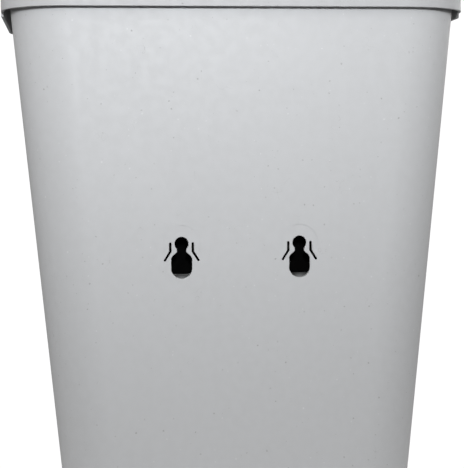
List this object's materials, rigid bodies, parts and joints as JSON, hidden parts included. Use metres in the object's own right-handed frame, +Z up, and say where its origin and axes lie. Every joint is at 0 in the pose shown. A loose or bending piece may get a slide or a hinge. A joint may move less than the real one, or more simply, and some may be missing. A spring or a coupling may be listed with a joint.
{
  "type": "dog waste bin",
  "caption": "Wall-hung dog waste bin: tapered speckled plastic body with snap keyholes, a bag frame, and a hinged filter lid with a quarter-turn lock.",
  "frame": {"origin": "on the ground plane, under the middle of the top frame", "axes": "+Z up, the front faces -Y, the wall side with the keyholes faces +Y"},
  "size_m": [0.3, 0.208, 0.4387],
  "materials": {
    "stone_plastic": "satin",
    "inner_plastic": "satin",
    "filter_plastic": "satin",
    "black_plastic": "matte",
    "nylon": "satin",
    "steel": "satin",
    "rubber": "matte",
    "charcoal_foam": "matte"
  },
  "bodies": {
    "root": {"bin_body": "stone_plastic", "wall_bumpers": "rubber", "keyhole_guard_left": "black_plastic", "keyhole_guard_right": "black_plastic", "guard_screws": "steel", "top_frame": "stone_plastic", "frame_screws": "steel", "hinge_bridge": "stone_plastic", "bridge_screws": "steel", "hinge_rod": "steel", "rod_caps": "steel"},
    "lid": {"lid": "stone_plastic", "hinge_bushes": "nylon", "lid_liner": "inner_plastic", "liner_screws": "steel", "lid_seal": "rubber", "lid_buffers": "rubber", "filter_pad": "charcoal_foam", "lock_bush": "nylon"},
    "filter_cover": {"filter_cover": "filter_plastic"},
    "lock": {"lock_knob": "black_plastic", "lock_bar": "steel", "lock_screw": "steel"},
    "bag_ring": {"bag_ring": "black_plastic"}
  },
  "joints": [
    {"name": "lid_hinge", "type": "hinge", "parent": "root", "child": "lid", "pos_m": [0, 0.062, 0.4284], "axis": [-1, 0, 0], "range_deg": [0, 100]},
    {"name": "lock_turn", "type": "hinge", "parent": "lid", "child": "lock", "pos_m": [0, -0.083, 0.4284], "axis": [0, 0, 1], "range_deg": [0, 90]},
    {"name": "filter_turn", "type": "hinge", "parent": "lid", "child": "filter_cover", "pos_m": [0, -0.009, 0.4075], "axis": [0, 0, 1], "range_deg": [0, 30]},
    {"name": "ring_lift", "type": "slide", "parent": "root", "child": "bag_ring", "axis": [0, 0, 1], "range_m": [0, 0.012]}
  ]
}
